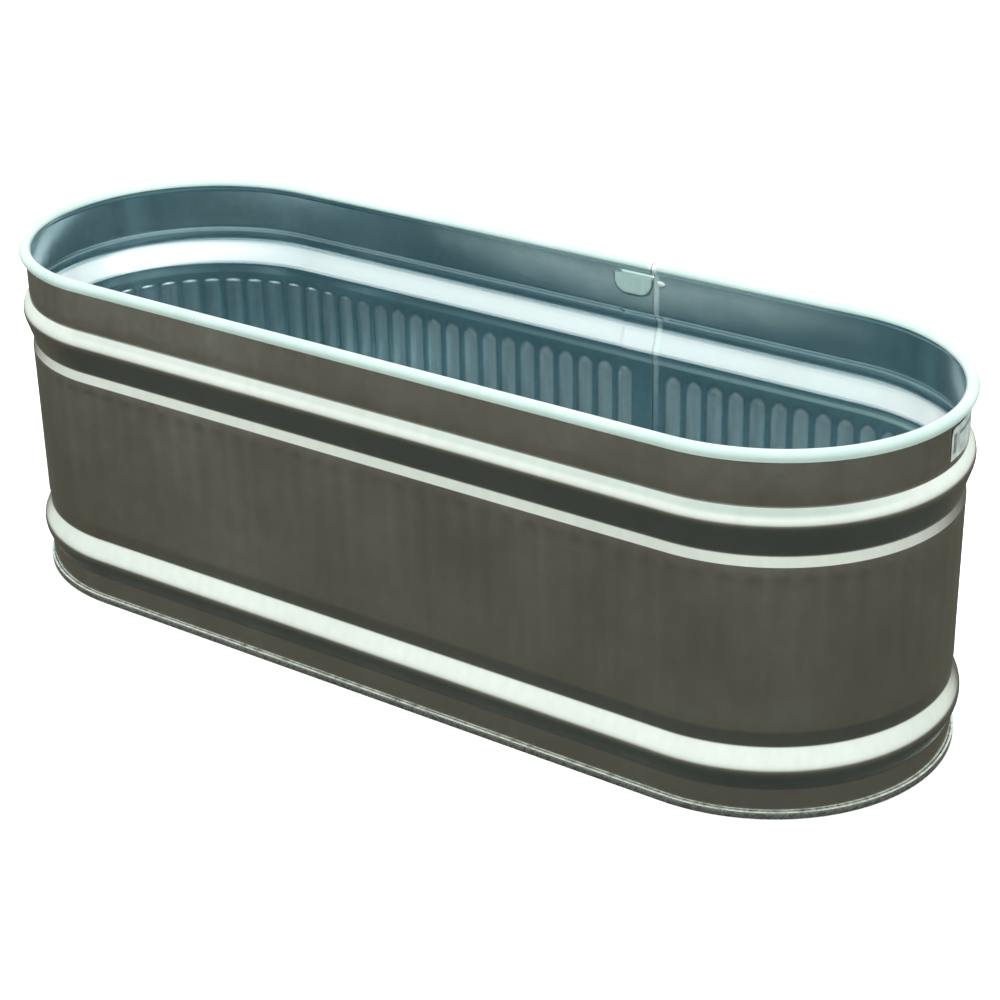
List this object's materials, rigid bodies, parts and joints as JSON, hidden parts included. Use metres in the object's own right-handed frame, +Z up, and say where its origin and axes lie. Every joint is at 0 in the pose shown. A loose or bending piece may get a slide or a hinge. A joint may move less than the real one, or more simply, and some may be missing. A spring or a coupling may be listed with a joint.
{
  "type": "round-end stock tank trough",
  "caption": "Oblong galvanised steel trough with round ends, beaded walls, a rolled rim, a double-seamed floor and a screwed end drain, for feed or water.",
  "frame": {"origin": "middle of the trough's length and width, on the ground under its bottom seam", "axes": "+X along the length, away from the drain; +Y towards the lapped wall; +Z up"},
  "size_m": [1.7978, 0.6276, 0.61],
  "materials": {
    "galvanised_wall": "weathered hot-dip galvanised, faint spangle",
    "galvanised_floor": "galvanised sheet, dull",
    "galvanised_tab": "galvanised sheet, brighter",
    "steel_tube": "plain steel tube",
    "weld_metal": "bright bare weld",
    "seam_sealant": "grey sealant, matte",
    "label_paper": "pale self-adhesive label, blank",
    "drain_fitting": "zinc-plated fitting",
    "plug_metal": "zinc-plated plug",
    "gasket_rubber": "matte black rubber"
  },
  "bodies": {
    "tank": {"side_wall": "galvanised_wall", "rim_tube": "steel_tube", "lap_tab": "galvanised_tab", "rim_weld": "weld_metal", "bottom_pan": "galvanised_floor", "bottom_sealant": "seam_sealant", "label": "label_paper", "drain_spud": "drain_fitting", "spud_inner_gasket": "gasket_rubber", "spud_outer_washer": "gasket_rubber", "spud_lock_nut": "drain_fitting"},
    "plug_seal": {"plug_gasket": "gasket_rubber"},
    "plug": {"drain_plug": "plug_metal"}
  },
  "joints": [
    {"name": "plug_travel", "type": "slide", "parent": "tank", "child": "plug_seal", "axis": [-1, 0, 0], "range_m": [0, 0.0127]},
    {"name": "plug_turn", "type": "hinge", "parent": "plug_seal", "child": "plug", "pos_m": [-0.8864, 0, 0.0315], "axis": [-1, 0, 0], "range_deg": [0, 2520]}
  ],
  "couplings": [
    {"joint": "plug_travel", "follows": "plug_turn", "m_per_rad": 0.00028871}
  ]
}
